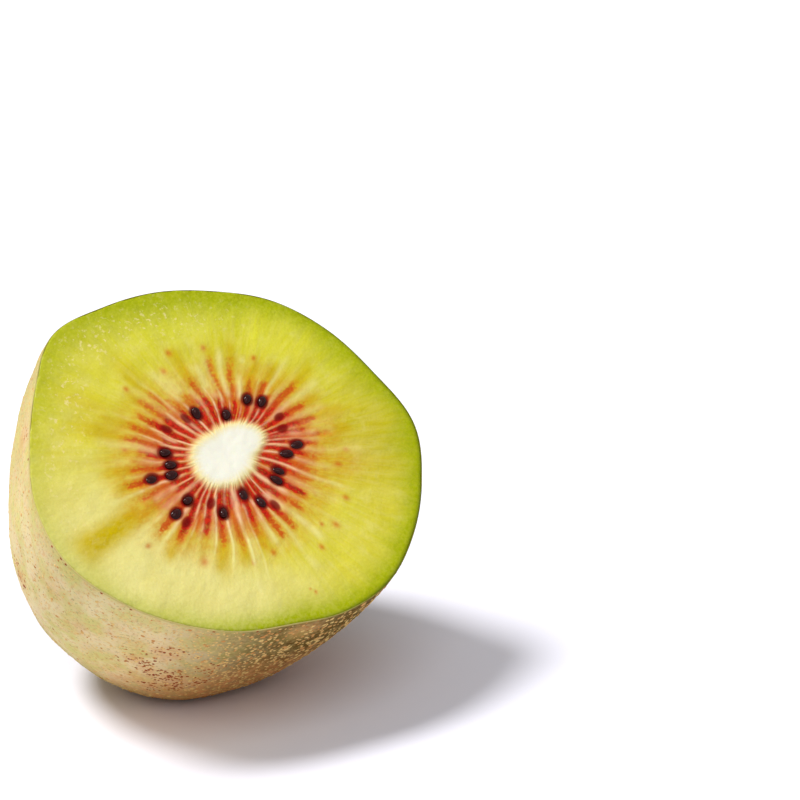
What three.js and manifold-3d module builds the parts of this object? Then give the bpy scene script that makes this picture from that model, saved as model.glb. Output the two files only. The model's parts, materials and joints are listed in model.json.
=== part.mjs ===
// Half of a red-hearted kiwi fruit, cut across the middle and lying on its side.
//
// The half is one grown piece: skin, flesh, core and seeds are joined tissue, so it is one solid.
// It leans back on a small flat spot under its shoulder, with the cut face turned up and forward.
// Units are millimetres, +Z is up and the cut face looks towards -Y. The origin is on the
// surface that the fruit lies on, below the middle of its bounding box.

import * as THREE from 'three';
import { mergeVertices } from 'three/addons/utils/BufferGeometryUtils.js';
import Module from 'manifold-3d';

// ---- driving dimensions -------------------------------------------------------------------

// Radius of the cut outline, every 18 degrees from the right-hand side, turning up and over.
const RIM_RADII = [
  27.2, 26.0, 25.8, 25.5, 24.6, 24.6, 25.0, 26.2, 24.8, 24.5,
  25.3, 25.4, 24.1, 22.9, 22.2, 21.9, 23.2, 24.5, 25.1, 26.0,
];
const HALF_LENGTH = 35; // from the cut face to the stem end
const SIDE_FULLNESS = 2.8; // superellipse powers: 2 is a plain dome, more is squarer
const END_FULLNESS = 2.9;
const CUT_FACE_LEAN = 45; // degrees between the cut face and the table

// Unevenness of the shoulder: share of the radius, waves round the fruit, crest in degrees.
const SHOULDER_WAVES = [
  { share: 0.045, count: 1, crest: -68 },
  { share: 0.046, count: 2, crest: 66 },
  { share: 0.037, count: 3, crest: 21 },
];

const DIMPLE_DEPTH = 1.6; // hollow round the stem scar
const DIMPLE_SPREAD = 5.5;
const FLAT_SPOT_DEPTH = 1.0; // how far the underside is flattened where it rests

const POINTS_AROUND = 80;
const RINGS = 32; // from the cut face to the stem end

// ---- shape --------------------------------------------------------------------------------

// The cut outline's radius at an angle in radians: a closed Catmull-Rom curve through RIM_RADII.
function rimRadius(angle) {
  const count = RIM_RADII.length;
  const place = (((angle / (2 * Math.PI)) % 1) + 1) * count;
  const first = Math.floor(place);
  const f = place - first;
  const [before, start, end, after] = [-1, 0, 1, 2].map((k) => RIM_RADII[(first + k + count) % count]);
  return 0.5 * (
    2 * start
    + (end - before) * f
    + (2 * before - 5 * start + 4 * end - after) * f ** 2
    + (3 * start - before - 3 * end + after) * f ** 3
  );
}

// How much wider or narrower the shoulder is at an angle, as a share of its radius.
function shoulderWave(angle) {
  return SHOULDER_WAVES.reduce((sum, wave) => {
    const crest = THREE.MathUtils.degToRad(wave.crest);
    return sum + wave.share * Math.cos(wave.count * (angle - crest));
  }, 0);
}

// A point of the skin. Turn goes from 0 on the cut outline to a right angle at the stem end.
// Here the cut face is the XY plane and the fruit's body is below it.
function skinPoint(angle, turn) {
  const width = Math.cos(turn) ** (2 / SIDE_FULLNESS) * (1 + shoulderWave(angle) * Math.sin(2 * turn) ** 2);
  const radius = rimRadius(angle) * width;
  const dimple = DIMPLE_DEPTH * Math.exp(-((radius / DIMPLE_SPREAD) ** 2)) * Math.sin(turn) ** 8;
  const depth = HALF_LENGTH * Math.sin(turn) ** (2 / END_FULLNESS) - dimple;
  return new THREE.Vector3(radius * Math.cos(angle), radius * Math.sin(angle), -depth);
}

// The whole half as one closed surface: the flat cut face, the rings of skin and the stem end.
function halfGeometry() {
  const points = [new THREE.Vector3(0, 0, 0)];
  for (let ring = 0; ring < RINGS; ring++) {
    const turn = (ring / RINGS) * (Math.PI / 2);
    for (let step = 0; step < POINTS_AROUND; step++) {
      points.push(skinPoint((step / POINTS_AROUND) * 2 * Math.PI, turn));
    }
  }
  points.push(skinPoint(0, Math.PI / 2).setX(0).setY(0));

  const faceCentre = 0;
  const stemEnd = points.length - 1;
  const at = (ring, step) => 1 + ring * POINTS_AROUND + (step % POINTS_AROUND);
  const faces = [];
  for (let step = 0; step < POINTS_AROUND; step++) {
    faces.push(faceCentre, at(0, step), at(0, step + 1));
    for (let ring = 0; ring < RINGS - 1; ring++) {
      faces.push(at(ring, step), at(ring + 1, step), at(ring + 1, step + 1));
      faces.push(at(ring, step), at(ring + 1, step + 1), at(ring, step + 1));
    }
    faces.push(at(RINGS - 1, step), stemEnd, at(RINGS - 1, step + 1));
  }
  return new THREE.BufferGeometry().setFromPoints(points).setIndex(faces);
}

// ---- solids -------------------------------------------------------------------------------

const wasm = await Module();
wasm.setup();

function solidFrom(geometry) {
  return new wasm.Manifold(new wasm.Mesh({
    numProp: 3,
    vertProperties: new Float32Array(geometry.attributes.position.array),
    triVerts: new Uint32Array(geometry.index.array),
  }));
}

function geometryFrom(solid) {
  const mesh = solid.getMesh();
  return new THREE.BufferGeometry()
    .setAttribute('position', new THREE.BufferAttribute(mesh.vertProperties, 3))
    .setIndex(new THREE.BufferAttribute(mesh.triVerts, 1));
}

// A block whose top is the table at Z = 0, with its corners shared so that it is closed.
function tableBlock() {
  const size = 4 * HALF_LENGTH;
  const block = new THREE.BoxGeometry(size, size, size).translate(0, 0, -size / 2);
  block.deleteAttribute('normal').deleteAttribute('uv');
  return mergeVertices(block);
}

// Leans the half back, sets it on the table and flattens the little that would sink into it.
function restingHalf() {
  const half = halfGeometry().rotateX(THREE.MathUtils.degToRad(CUT_FACE_LEAN));
  half.computeBoundingBox();
  half.translate(0, 0, -half.boundingBox.min.z - FLAT_SPOT_DEPTH);
  const resting = geometryFrom(solidFrom(half).subtract(solidFrom(tableBlock())));
  resting.computeVertexNormals();
  return resting;
}

// ---- part ---------------------------------------------------------------------------------

const skin = new THREE.MeshStandardMaterial({ color: 0xa89a68, roughness: 0.75, metalness: 0 });

const kiwiHalf = new THREE.Mesh(restingHalf(), skin);
kiwiHalf.name = 'kiwi_half';
const middle = new THREE.Box3().setFromObject(kiwiHalf).getCenter(new THREE.Vector3());
kiwiHalf.position.set(-middle.x, -middle.y, 0);

const part = new THREE.Group();
part.add(kiwiHalf);

export default part;
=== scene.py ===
"""Half of a red-hearted kiwi fruit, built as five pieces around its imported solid.

Wet cut flesh, the seeds in it, the thin skin, the corky dots on the skin and the stem scar.
Shapes are worked out in millimetres on the cut face's own axes: across, up and out of the face.
They are then leaned back into the part's frame, in metres.
"""

import json

import bpy
import numpy as np
from bpy.props import FloatProperty, FloatVectorProperty, IntProperty, PointerProperty
from bpy.types import Operator, Panel, PropertyGroup
from mathutils import Matrix, Vector


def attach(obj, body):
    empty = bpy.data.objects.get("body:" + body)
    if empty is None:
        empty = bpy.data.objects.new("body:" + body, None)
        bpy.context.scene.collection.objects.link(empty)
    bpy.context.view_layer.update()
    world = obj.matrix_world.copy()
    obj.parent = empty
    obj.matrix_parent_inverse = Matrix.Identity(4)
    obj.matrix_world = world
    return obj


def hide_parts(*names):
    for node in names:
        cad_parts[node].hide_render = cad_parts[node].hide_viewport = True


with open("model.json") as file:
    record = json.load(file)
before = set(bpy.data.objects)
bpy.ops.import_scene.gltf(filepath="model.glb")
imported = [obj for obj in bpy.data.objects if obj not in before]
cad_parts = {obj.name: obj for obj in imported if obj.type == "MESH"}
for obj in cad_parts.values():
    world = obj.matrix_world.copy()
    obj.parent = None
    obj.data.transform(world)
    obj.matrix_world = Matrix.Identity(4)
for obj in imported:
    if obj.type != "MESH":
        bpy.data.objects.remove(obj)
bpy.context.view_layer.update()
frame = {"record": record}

bl_info = {
    "name": "Half Kiwi Fruit",
    "version": (1, 0, 0),
    "blender": (4, 5, 0),
    "location": "3D View > Sidebar > Kiwi",
    "description": "Builds half a red-hearted kiwi fruit: flesh, seeds, skin, dots and stem scar",
    "category": "Add Mesh",
}

NODE = "kiwi_half"
BODY = "root"
MM = 0.001
PRESS_BEND = 0.12 * MM  # how softly the skin bends where it meets the table

# ---- where the cut face is, from the frame ----

CUT_FACE = next(m for m in frame["record"]["mounts"] if m["name"] == "cut_face")
FACE_CENTRE = np.array(CUT_FACE["pos_m"])
OUT_OF_FACE = np.array(CUT_FACE["axis"])
ACROSS_FACE = np.array([1.0, 0.0, 0.0])
UP_FACE = np.cross(OUT_OF_FACE, ACROSS_FACE)

# ---- shape of the half, in millimetres and degrees ----
# A bearing turns anticlockwise from the right-hand side of the cut face: round the core's centre
# for what lies in the flesh, and round the middle of the face for what lies on the skin.

# Radius of the cut outline, every 18 degrees from the right-hand side, turning up and over.
RIM_RADII = (
    27.2, 26.0, 25.8, 25.5, 24.6, 24.6, 25.0, 26.2, 24.8, 24.5,
    25.3, 25.4, 24.1, 22.9, 22.2, 21.9, 23.2, 24.5, 25.1, 26.0,
)
HALF_LENGTH = 35.0  # from the cut face to the stem end
SIDE_FULLNESS = 2.8  # superellipse powers: 2 is a plain dome, more is squarer
END_FULLNESS = 2.9
SHOULDER_WAVES = ((0.045, 1, -68), (0.046, 2, 66), (0.037, 3, 21))  # share, count, crest
DIMPLE_DEPTH = 1.6
DIMPLE_SPREAD = 5.5
MEAN_RADIUS = 22.0  # turns a step round the skin into an angle

# Radius of the white core, every 30 degrees from 15, round a centre a little off the face's own.
CORE_CENTRE = (0.5, 1.2)
CORE_RADII = (5.4, 4.5, 3.3, 2.7, 3.1, 4.0, 4.6, 4.7, 3.8, 3.2, 3.1, 3.3)
CORE_FIRST = 15.0
CORE_TEETH = 0.4  # how far its longest spikes run out

# The main streaks of the red heart: bearing from the core, and where the crimson, the orange and
# the olive tail end, as distances from the core's centre. No tail is 0.
STREAKS = (
    (0, 8.8, 13.8, 18.0), (4, 11.0, 11.8, 0), (9.5, 10.5, 13.7, 18.5), (18.5, 10.3, 13.5, 16.0),
    (30, 9.8, 14.6, 18.5), (37, 9.0, 10.5, 0), (42.5, 9.8, 12.2, 15.5), (52.5, 8.2, 11.5, 15.0),
    (66.5, 7.5, 13.3, 16.5), (78, 6.5, 13.0, 15.5), (84, 7.2, 8.5, 0), (95.5, 7.8, 11.0, 15.8),
    (107, 6.8, 8.6, 0), (119.5, 7.2, 9.6, 0), (125, 6.2, 12.3, 16.5), (132.5, 8.2, 12.0, 14.5),
    (142, 9.6, 11.4, 0), (150, 8.2, 12.6, 17.0), (158.5, 8.6, 12.5, 18.5), (167, 10.4, 11.2, 0),
    (177.5, 9.0, 12.8, 17.0), (186, 11.8, 14.2, 16.0), (195, 8.5, 13.6, 0), (202, 8.4, 9.6, 20.0),
    (213, 9.5, 14.5, 0), (222.5, 12.5, 14.4, 17.5), (228.5, 8.2, 11.5, 0), (235, 11.2, 12.0, 0),
    (245.5, 9.2, 12.5, 16.5), (257.5, 7.2, 12.2, 15.0), (269.5, 9.0, 10.6, 13.5),
    (283.5, 9.2, 12.4, 0), (293, 9.4, 12.2, 0), (306.5, 8.2, 11.6, 0), (316.5, 10.0, 10.8, 0),
    (327, 8.2, 11.0, 0), (334.5, 8.3, 10.6, 0), (346, 9.6, 11.2, 0), (354.5, 10.5, 12.3, 0),
)
STREAK_BEARINGS = np.array([bearing for bearing, *_ in STREAKS])
# How far the streaks turn as they near the core, in degrees, every 30 degrees from the right. They
# start to turn at one distance and are fully turned at the other.
SWEEP = (12, -3, -10, -10, -2, 7, 6, -1, -8, -2.5, -6, 6)
SWEEP_START, SWEEP_END = 12.5, 4
# The pale rays between them: bearing, start, end, half width and strength.
RAYS = (
    (13.5, 6.5, 12.0, 0.14, 0.5), (25, 9.5, 13.5, 0.22, 0.45), (34.5, 9.5, 13.0, 0.20, 0.35),
    (47, 9.0, 12.5, 0.18, 0.4), (60, 8.2, 14.5, 0.45, 0.8), (72.5, 8.2, 15.0, 0.40, 0.65),
    (80, 7.2, 9.4, 0.22, 0.7), (87, 7.8, 13.0, 0.80, 0.6), (101, 7.0, 12.0, 0.40, 0.4),
    (110, 9.4, 13.5, 1.2, 0.5),
    (147.5, 6.4, 9.2, 0.20, 0.7), (153.5, 8.0, 12.0, 0.15, 0.6), (162.5, 9.0, 12.0, 0.14, 0.4),
    (172, 7.0, 12.0, 0.20, 0.5), (181.5, 6.8, 10.5, 0.12, 0.4), (190.5, 6.2, 14.0, 0.20, 0.75),
    (208, 6.0, 15.0, 0.30, 0.75), (217.5, 9.0, 17.5, 0.28, 0.75), (227, 10.0, 14.0, 0.15, 0.4),
    (232, 6.0, 12.0, 0.14, 0.7), (241.5, 6.0, 14.5, 0.17, 0.9), (251, 7.6, 16.5, 0.20, 1.0),
    (261, 4.6, 19.0, 0.28, 1.0), (266.5, 7.0, 18.0, 0.18, 0.6), (277.5, 6.6, 15.5, 0.28, 0.7),
    (288.5, 6.0, 10.5, 0.15, 0.6), (299.5, 6.6, 16.0, 0.50, 0.7), (310.5, 6.0, 9.5, 0.12, 0.4),
    (321.5, 5.0, 9.0, 0.12, 0.4), (331, 5.0, 10.0, 0.12, 0.4), (340.5, 5.8, 10.0, 0.16, 0.5),
    (350, 8.5, 11.0, 0.12, 0.4), (357, 6.0, 9.8, 0.14, 0.5), (6.8, 6.0, 8.5, 0.12, 0.4),
)
# Where the red between the streaks fades out, every 30 degrees from the right-hand side.
HEART_RADII = (12.3, 11.3, 9.4, 8.3, 9.0, 10.4, 11.9, 12.7, 11.3, 10.2, 10.0, 11.0)
# Tan patches round the heart: bearing, distance, half length, half width and strength.
TAN_PATCHES = (
    (203, 11.0, 3.2, 2.2, 1.0), (224, 10.5, 2.0, 1.4, 0.9), (6, 11.5, 2.4, 1.8, 0.85),
    (350, 11.0, 1.8, 1.3, 0.8), (185, 11.5, 2.2, 1.4, 0.9), (312, 9.0, 2.0, 1.4, 0.8),
    (344, 14.5, 3.5, 2.6, 0.7),
)
# The green band inside the skin: its strength and width, every 45 degrees.
BAND_STRENGTH = (1.05, 1.1, 1.15, 0.8, 0.35, 0.6, 1.15, 1.2)
BAND_WIDTH = (3.2, 3.1, 3.8, 3.6, 2.4, 1.9, 2.3, 2.5)
# Seeds: bearing, distance, and how far they stand out of the pulp, from 0 to 1. One that stands out
# less than BURIED is only a dark stain in the pulp.
SEEDS = (
    (38.8, 9.4, 1), (49.9, 8.6, 1), (68.5, 5.5, 0.9), (106.4, 6.35, 1), (166.6, 7.9, 1),
    (178.8, 7.6, 0.8), (188.5, 8.1, 1), (213.5, 8.65, 1), (213.3, 11.2, 0.9), (244.7, 8.1, 1),
    (270, 5.6, 0.5), (284.2, 7.3, 0.7), (316.1, 6.85, 1), (327.4, 6.75, 0.8), (348, 7.85, 1),
    (355.4, 9.6, 0.8), (186, 10.7, 0.45), (293.3, 8.6, 0.15), (21, 9.4, 0.2), (11.5, 8.7, 0.1),
    (120.8, 6.6, 0.1), (143, 8, 0.1), (232, 7.4, 0.1), (221.2, 11.4, 0.1),
)
BURIED = 0.4
# The dark pulp round a seed, and over a buried one: half length, half width and strength.
SEED_SHADE = (1.2, 0.9, 0.95)
BURIED_SHADE = (1.0, 0.62, 0.62)
# Small orange flecks further out: bearing, distance and half width.
FLECKS = (
    (310, 15.9, 0.45), (296, 16.2, 0.35), (325, 15.8, 0.38), (305.5, 14.4, 0.25),
    (237.5, 15.3, 0.5), (213, 17.1, 0.28), (261, 14.6, 0.3), (273, 13.8, 0.4),
    (342, 14.6, 0.4), (350, 16.0, 0.3), (98.5, 14.9, 0.42), (107, 13.0, 0.4),
    (130.5, 14.5, 0.35), (165.5, 13.0, 0.35), (80, 14.8, 0.35), (54, 14.7, 0.35),
    (281.2, 20.3, 0.22), (280, 19.7, 0.14),
)
# Soft olive clouds: bearing, distance, half length along the bearing, half width and strength.
CLOUDS = (
    (156, 16.0, 3.2, 1.6, 0.9), (146, 18.0, 3.5, 1.3, 0.5), (122, 15.0, 2.8, 1.3, 0.6),
    (172.5, 16.0, 3.0, 0.7, 0.35), (7.5, 17.0, 2.4, 1.0, 0.6), (31.5, 16.5, 2.4, 0.9, 0.6),
    (66, 15.0, 2.0, 0.9, 0.45), (99, 14.0, 2.0, 0.9, 0.5), (247.5, 15.0, 2.2, 0.8, 0.45),
)
# The one broad olive wedge: bearing, start, end and half width as a share of the distance.
WEDGE = (200.2, 12.0, 25.0, 0.094)

# Bearings of the sides that differ in colour, those of the flesh and those of the skin.
# On the flesh, the glints are painted highlights.
PALE_SIDE, LIME_SIDE, EDGED_SIDE, PAINTED_GLINT_SIDE = 228, 72, 340, 130
# On the skin, one side is lightened by painted light, the olive side is partly darkened by painted
# shade, and the brown low down is partly painted warm reflected light.
SHADED_OLIVE_SIDE, GREEN_SIDE, PAINTED_LIGHT_SIDE, REFLECTED_BROWN_SIDE, CREAM_SIDE = -56, 62, 213, -80, 212

# Where dots crowd together: bearing, depth below the face, spread, how many, and how brown.
CROWDS = (
    (229, 12.0, 1.0, 20, 1.0), (234, 13.8, 1.0, 30, 1.1), (241, 14.4, 1.2, 44, 1.1),
    (240, 18.4, 1.3, 26, 1.0), (246, 18.0, 1.4, 30, 1.0), (250, 14.8, 1.3, 26, 1.0),
    (251, 10.8, 1.2, 20, 1.0), (236, 8.2, 1.6, 28, 0.95), (186, 14.8, 1.2, 22, 1.0),
    (198, 7.0, 1.5, 10, 0.4), (210, 11.5, 1.6, 8, 0.4), (156, 3.4, 1.2, 8, 0.6),
    (276, 2.6, 1.5, 10, 0.8), (30, 17.0, 2.0, 18, 0.85), (75, 25.0, 2.2, 16, 0.8),
    (120, 12.0, 1.8, 12, 0.7), (330, 22.0, 2.2, 18, 0.9), (225, 8.0, 3.0, 35, 0.3),
    (246, 5.0, 2.6, 45, 0.12), (256, 9.0, 2.8, 60, 0.1), (262, 15.0, 2.6, 60, 0.12),
    (272, 10.0, 2.4, 50, 0.08), (268, 19.0, 2.4, 40, 0.12),
)
# Bearings of the little brown spots beside the cut.
CUT_SPOTS = (192, 196, 198, 210, 219, 166, 244, 258)

# ---- light: which way it comes from, and how wide it looks in degrees ----

LIGHT_FROM_BEHIND = ((-0.424, 0.265, 0.866), 19)
LIGHT_FROM_THE_FRONT = ((-0.25, -0.50, 0.83), 40)


def paint(red, green, blue):
    """A colour as a screen shows it, 0 to 255, as the linear values that a shader works in."""
    shown = np.array((red, green, blue)) / 255
    return tuple(np.where(shown <= 0.04045, shown / 12.92, ((shown + 0.055) / 1.055) ** 2.4))


# ---- numpy tools ----


def smooth_step(low, high, value):
    """0 below low, 1 above high and 3t^2 - 2t^3 between them."""
    t = np.clip((value - low) / (high - low), 0, 1)
    return t * t * (3 - 2 * t)


def facing(angle, bearing):
    """1 towards a bearing in degrees, 0 at a right angle to it and -1 away from it."""
    return np.cos(angle - np.radians(bearing))


def full_turn(columns):
    """Evenly spaced angles round a ring, as one row."""
    return np.linspace(0, 2 * np.pi, columns, endpoint=False)[None, :]


def on_ring(angle, height=0.0, radius=1.0):
    """Points round a cylinder, for noise that closes on itself and runs along the rays."""
    height = np.broadcast_to(height, np.shape(angle))
    return np.stack([radius * np.cos(angle), radius * np.sin(angle), height], -1)


def closed_curve(radii, angle, first=0.0):
    """The radius at an angle: a Catmull-Rom curve through evenly spaced radii, closed on itself."""
    radii = np.asarray(radii)
    place = ((angle - first) / (2 * np.pi)) % 1 * len(radii)
    step = np.floor(place).astype(int)
    f = place - step
    before, start, end, after = (radii[(step + k) % len(radii)] for k in (-1, 0, 1, 2))
    bend = 2 * before - 5 * start + 4 * end - after
    twist = 3 * start - before - 3 * end + after
    return 0.5 * (2 * start + (end - before) * f + bend * f**2 + twist * f**3)


def hashed(cell, seed):
    """A repeatable number from 0 to 1 for each whole-number cell, by mixing its three counts."""
    x, y, z = (cell[..., k].astype(np.uint32) for k in range(3))
    mixed = x * np.uint32(0x8DA6B343) ^ y * np.uint32(0xD8163841) ^ z * np.uint32(0xCB1AB31F)
    mixed = mixed ^ np.uint32(seed * 0x9E3779B1 & 0xFFFFFFFF)
    for shift, factor in ((15, 0x2C1B3C6D), (12, 0x297A2D39)):
        mixed = (mixed ^ (mixed >> np.uint32(shift))) * np.uint32(factor)
    return (mixed ^ (mixed >> np.uint32(15))) / 2.0**32


def soft_noise(points, size, seed):
    """Smooth noise from -1 to 1: the hashed corners of each cell, blended across it."""
    place = points / size
    cell = np.floor(place).astype(np.int64)
    f = smooth_step(0, 1, place - cell)
    total = 0
    for corner in np.ndindex(2, 2, 2):
        weight = np.prod(np.where(np.array(corner, bool), f, 1 - f), axis=-1)
        total = total + weight * hashed(cell + np.array(corner), seed)
    return 2 * total - 1


def rough_noise(points, size, seed, layers=3):
    """Layers of soft noise, each half the size and half the height of the one before."""
    return sum(soft_noise(points, size / 2**k, seed + k) / 2**k for k in range(layers))


def unit(vectors):
    """Vectors brought to length 1."""
    return vectors / np.maximum(np.linalg.norm(vectors, axis=-1, keepdims=True), 1e-12)


def outward(points):
    """Unit normals of a grid: the cross product of its steps from row to row and round each row."""
    around = np.roll(points, -1, 1) - np.roll(points, 1, 1)
    return unit(np.cross(np.gradient(points, axis=0), around))


def leaned(points, lowest=0.0):
    """Points in millimetres on the face's axes, as metres in the part's frame.

    What would sink through the table is pressed up to the lowest height by a soft maximum.
    """
    axes = np.stack([ACROSS_FACE, UP_FACE, OUT_OF_FACE])
    placed = FACE_CENTRE + (points * MM) @ axes
    above = placed[..., 2] - lowest * MM
    placed[..., 2] = lowest * MM + (above + np.sqrt(above**2 + PRESS_BEND**2)) / 2
    return placed


def lathe_faces(rows, columns, count=1):
    """Quads and triangles of closed bodies of rings, each with its two end points after its rings.

    They face outwards where the rings run anticlockwise round the way that the rows go.
    """
    column, low = np.arange(columns), np.arange(rows - 1)[:, None] * columns
    beside, high = (column + 1) % columns, low + columns
    quads = np.stack([low + column, low + beside, high + beside, high + column], -1).reshape(-1, 4)
    last = rows * columns
    start = np.stack([np.full(columns, last), beside, column], -1)
    end = np.stack([np.full(columns, columns + 1), column, beside], -1) + last - columns
    body = np.arange(count)[:, None, None] * (last + 2)
    triangles = np.concatenate([start, end]) + body
    return (quads + body).reshape(-1, 4), triangles.reshape(-1, 3)


def new_object(name, data):
    thing = bpy.data.objects.new(name, data)
    bpy.context.scene.collection.objects.link(thing)
    return thing


def build_mesh(name, points, faces, values=None):
    """A smooth mesh object from points and their faces, with a named value on each point."""
    quads, triangles = faces
    mesh = bpy.data.meshes.new(name)
    corners = np.concatenate([quads.ravel(), triangles.ravel()]).astype(np.int32)
    starts = [np.arange(len(quads)) * 4, quads.size + np.arange(len(triangles)) * 3]
    starts = np.concatenate(starts).astype(np.int32)
    mesh.vertices.add(len(points))
    mesh.vertices.foreach_set("co", points.astype(np.float32).ravel())
    mesh.loops.add(len(corners))
    mesh.loops.foreach_set("vertex_index", corners)
    mesh.polygons.add(len(starts))
    mesh.polygons.foreach_set("loop_start", starts)
    for key, value in (values or {}).items():
        value = np.asarray(value, np.float32)
        kind, field = ("FLOAT", "value") if value.ndim == 1 else ("FLOAT_VECTOR", "vector")
        mesh.attributes.new(key, kind, "POINT").data.foreach_set(field, value.ravel())
    mesh.update(calc_edges=True)
    if mesh.validate():
        raise RuntimeError(f"{name} has faces that aren't valid")
    mesh.shade_smooth()
    return new_object(name, mesh)


def finished(piece, material):
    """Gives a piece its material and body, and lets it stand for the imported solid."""
    piece.data.materials.append(material)
    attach(piece, BODY)
    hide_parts(NODE)


# ---- node tools ----


class Sheet:
    """A node tree that is being filled in, with a short method for each kind of node."""

    def __init__(self, tree):
        self.tree = tree

    def feed(self, socket, value):
        if isinstance(value, bpy.types.NodeSocket):
            self.tree.links.new(value, socket)
        elif socket.type == "RGBA":
            socket.default_value = (*value[:3], 1.0)
        else:
            socket.default_value = value

    def node(self, kind, inputs=None, **settings):
        node = self.tree.nodes.new(kind)
        for key, value in settings.items():
            setattr(node, key, value)
        for key, value in (inputs or {}).items():
            self.feed(node.inputs[key], value)
        return node

    def math(self, operation, first, second):
        return self.node("ShaderNodeMath", {0: first, 1: second}, operation=operation).outputs[0]

    def share(self, mask, amount):
        """A mask made weaker by a number or by another mask."""
        return self.math("MULTIPLY", mask, amount)

    def mix(self, mask, below, above):
        inputs = {0: mask, 6: below, 7: above}
        return self.node("ShaderNodeMix", inputs, data_type="RGBA").outputs[2]

    def layers(self, ground, *coats):
        """Paints each (mask, colour) over what is below it."""
        for mask, colour in coats:
            ground = self.mix(mask, ground, colour)
        return ground

    def ramp(self, value, low, high, start=0.0, end=1.0):
        """A smooth step from start, at the low value and below it, to end at the high one."""
        inputs = {"Value": value, "From Min": low, "From Max": high, "To Min": start, "To Max": end}
        node = self.node("ShaderNodeMapRange", inputs, interpolation_type="SMOOTHSTEP")
        return node.outputs["Result"]

    def mask(self, name):
        """A value that the mesh carries on its points."""
        return self.node("ShaderNodeAttribute", attribute_name=name).outputs["Fac"]

    def direction(self, name):
        """A vector that the mesh carries on its points."""
        return self.node("ShaderNodeAttribute", attribute_name=name).outputs["Vector"]

    def stretched(self, place, scale):
        return self.node("ShaderNodeMapping", {"Vector": place, "Scale": scale}).outputs[0]

    def millimetres(self):
        """Object coordinates, in millimetres."""
        place = self.node("ShaderNodeTexCoord").outputs["Object"]
        return self.stretched(place, (1 / MM, 1 / MM, 1 / MM))

    def noise(self, place, size, low=0.3, high=0.7, seed=0.0):
        """Soft blotches: the mask of the group that patches_group makes."""
        inputs = {"Place": place, "Size": size, "Low": low, "High": high, "Seed": seed}
        return self.node("ShaderNodeGroup", inputs, node_tree=patches_group()).outputs[0]

    def grain(self, place, size):
        """The Height and Tone of the group that grain_group makes."""
        inputs = {"Place": place, "Size": size}
        return self.node("ShaderNodeGroup", inputs, node_tree=grain_group()).outputs

    def finish(self, shader, colour, grain, roughness, height=None, bump=(0.0, 0.0)):
        """Feeds a shader its colour, a roughness that follows the grain, and the bump of a height.

        The bump is given as its strength and its depth in millimetres.
        """
        self.feed(shader["Base Color"], colour)
        self.feed(shader["Roughness"], self.ramp(grain["Tone"], 0.3, 0.7, *roughness))
        if height is not None:
            inputs = {"Height": height, "Strength": bump[0], "Distance": bump[1] * MM}
            self.feed(shader["Normal"], self.node("ShaderNodeBump", inputs).outputs[0])


def new_group(name, inputs, outputs):
    """An empty shader group, from its inputs' defaults, None for a place, and its output names."""
    tree = bpy.data.node_groups.new(name, "ShaderNodeTree")
    for key, default in inputs.items():
        kind = "NodeSocketVector" if default is None else "NodeSocketFloat"
        socket = tree.interface.new_socket(key, in_out="INPUT", socket_type=kind)
        if default is not None:
            socket.default_value = default
    for key in outputs:
        tree.interface.new_socket(key, in_out="OUTPUT", socket_type="NodeSocketFloat")
    sheet = Sheet(tree)
    return sheet, sheet.node("NodeGroupInput").outputs, sheet.node("NodeGroupOutput").inputs


def patches_group():
    """Soft blotches of a given size: noise, with a smooth step from its low to its high level."""
    if "kiwi patches" in bpy.data.node_groups:
        return bpy.data.node_groups["kiwi patches"]
    inputs = {"Place": None, "Size": 1.0, "Low": 0.4, "High": 0.6, "Seed": 0.0}
    sheet, given, made = new_group("kiwi patches", inputs, ("Mask",))
    fineness = sheet.math("DIVIDE", 1.0, given["Size"])
    moved = {0: given["Place"], 1: given["Seed"]}
    moved = sheet.node("ShaderNodeVectorMath", moved, operation="ADD").outputs[0]
    inputs = {"Vector": moved, "Scale": fineness, "Detail": 3.0, "Roughness": 0.55}
    noise = sheet.node("ShaderNodeTexNoise", inputs).outputs[0]
    sheet.feed(made["Mask"], sheet.ramp(noise, given["Low"], given["High"]))
    return sheet.tree


def grain_group():
    """Living tissue seen close: small rounded cells, broken up by finer noise."""
    if "kiwi grain" in bpy.data.node_groups:
        return bpy.data.node_groups["kiwi grain"]
    inputs = {"Place": None, "Size": 0.4}
    sheet, given, made = new_group("kiwi grain", inputs, ("Height", "Tone"))
    fineness = sheet.math("DIVIDE", 1.0, given["Size"])
    inputs = {"Vector": given["Place"], "Scale": fineness, "Randomness": 1.0}
    cells = sheet.node("ShaderNodeTexVoronoi", inputs, feature="SMOOTH_F1")
    inputs = {"Vector": given["Place"], "Scale": sheet.share(fineness, 2.3), "Detail": 2.0}
    noise = sheet.node("ShaderNodeTexNoise", inputs).outputs[0]
    dome = sheet.math("SUBTRACT", 1.0, cells.outputs["Distance"])
    sheet.feed(made["Height"], sheet.math("ADD", dome, sheet.share(noise, 0.6)))
    sheet.feed(made["Tone"], noise)
    return sheet.tree


def surface_material(name, **settings):
    """A material with its sheet and its Principled shader, whose plain inputs are set at once."""
    material = bpy.data.materials.new(name)
    material.use_nodes = True
    material.node_tree.nodes.clear()
    sheet = Sheet(material.node_tree)
    shader = sheet.node("ShaderNodeBsdfPrincipled")
    for key, value in settings.items():
        shader.inputs[key.replace("_", " ").title().replace("Ior", "IOR")].default_value = value
    sheet.node("ShaderNodeOutputMaterial", {"Surface": shader.outputs[0]})
    return material, sheet, shader.inputs


# ---- sizes and colours that a user may change ----


def tint(name, description, *shown):
    """A colour, given as a screen shows it."""
    return FloatVectorProperty(
        name=name, description=description, default=paint(*shown), subtype="COLOR", min=0, max=1
    )


def measure(name, description, millimetres):
    return FloatProperty(
        name=name, description=description, default=millimetres * MM, unit="LENGTH", precision=5
    )


def amount(name, description, value):
    return FloatProperty(name=name, description=description, default=value, min=0)


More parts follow.
